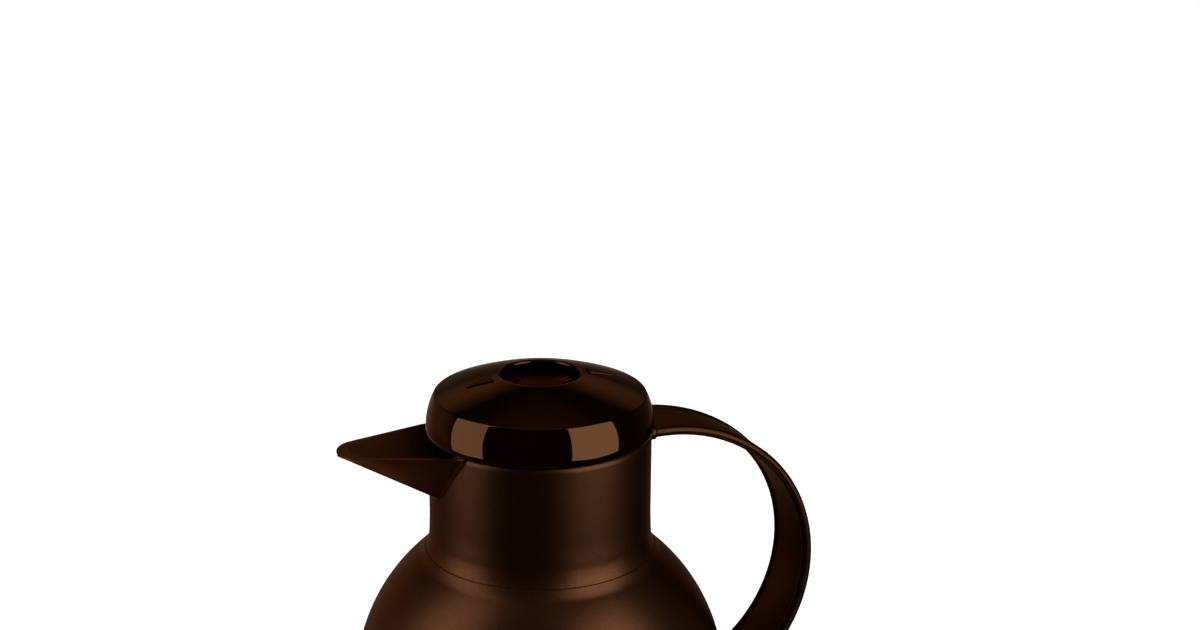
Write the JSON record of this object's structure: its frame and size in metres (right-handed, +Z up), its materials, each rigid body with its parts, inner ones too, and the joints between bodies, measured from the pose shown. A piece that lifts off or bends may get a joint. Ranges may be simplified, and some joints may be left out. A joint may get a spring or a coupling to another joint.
{
  "type": "thermal jug",
  "caption": "Ball-shaped thermal jug with a beak spout, ribbon handle and glass vacuum flask; a screw-in closure has a top push button that opens a sprung pouring valve.",
  "frame": {"origin": "on the jug's axis, on the plane that its soft foot ring stands on", "axes": "+Z up along the jug's axis, +X towards the handle, -X towards the spout"},
  "size_m": [0.2063, 0.1564, 0.2039],
  "materials": {
    "satin_brown": "satin lacquer with fine metallic flake, espresso brown",
    "gloss_brown": "high gloss, almost black brown",
    "button_brown": "satin dark brown with grip ribs",
    "dark_plastic": "fine matte moulding",
    "pale_plastic": "natural moulding, slightly waxy",
    "silvered_glass": "silvered glass",
    "silicone": "soft translucent grey silicone",
    "foot_rubber": "matte soft rubber",
    "spring_steel": "drawn stainless wire"
  },
  "bodies": {
    "jug": {"ball_body": "satin_brown", "collar": "satin_brown", "handle": "satin_brown", "flask_jacket": "silvered_glass", "flask_bulb": "silvered_glass", "flask_seal": "silicone", "flask_cushion": "foot_rubber", "base_cap": "dark_plastic", "foot_ring": "foot_rubber"},
    "stopper_ring": {"sealing_ring": "silicone"},
    "closure": {"lid_cap": "gloss_brown", "stopper": "dark_plastic", "stem_seal": "silicone", "return_spring": "spring_steel", "latch_sleeve": "dark_plastic"},
    "valve_train": {"push_button": "button_brown", "valve_stem": "pale_plastic", "valve_plate": "pale_plastic", "valve_seal": "silicone", "stem_clip": "spring_steel"},
    "latch": {"latch_rotor": "pale_plastic"}
  },
  "joints": [
    {"name": "lid_lift", "type": "slide", "parent": "jug", "child": "stopper_ring", "axis": [0, 0, 1], "range_m": [0, 0.12]},
    {"name": "lid_turn", "type": "hinge", "parent": "stopper_ring", "child": "closure", "pos_m": [0, 0, 0.18], "axis": [0, 0, 1], "range_deg": [0, 180]},
    {"name": "button_press", "type": "slide", "parent": "closure", "child": "valve_train", "axis": [0, 0, -1], "range_m": [0, 0.005], "stiffness_N_per_m": 600, "springref_m": -0.004, "deforming": ["return_spring"]},
    {"name": "rotor_turn", "type": "hinge", "parent": "valve_train", "child": "latch", "pos_m": [0, 0, 0.19], "axis": [0, 0, 1], "range_deg": [0, 23]}
  ],
  "couplings": [
    {"joint": "rotor_turn", "follows": "button_press", "rad_per_m": 78.54}
  ]
}
